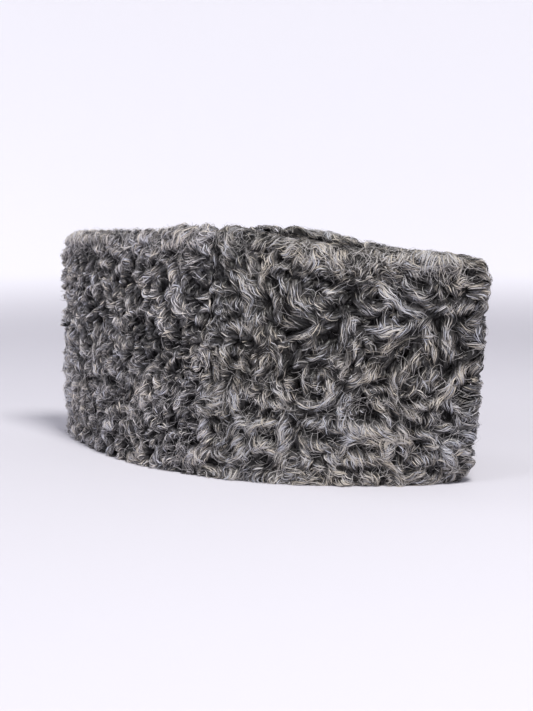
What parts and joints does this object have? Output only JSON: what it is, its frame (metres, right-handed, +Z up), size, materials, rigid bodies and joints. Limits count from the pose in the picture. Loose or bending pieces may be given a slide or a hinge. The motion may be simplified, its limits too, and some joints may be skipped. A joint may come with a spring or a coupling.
{
  "type": "karakul cap",
  "caption": "Boat-shaped cap of curled grey lambskin with a folded-down crown, standing open on its rim.",
  "frame": {"origin": "middle of the cap's box, on the surface that the rim stands on", "axes": "+X towards the front fold, +Y towards the wearer's left side, +Z up"},
  "size_m": [0.2736, 0.1302, 0.1261],
  "materials": {
    "front_fur": "long wavy grey lambskin locks, silvery tips over charcoal roots, soft sheen",
    "back_fur": "small tight grey lambskin curls, darker than the front, soft sheen",
    "crown_fur": "smoother swept grey lambskin, soft sheen"
  },
  "bodies": {
    "root": {"front_pelt": "front_fur", "back_pelt": "back_fur", "crown": "crown_fur"}
  },
  "joints": []
}
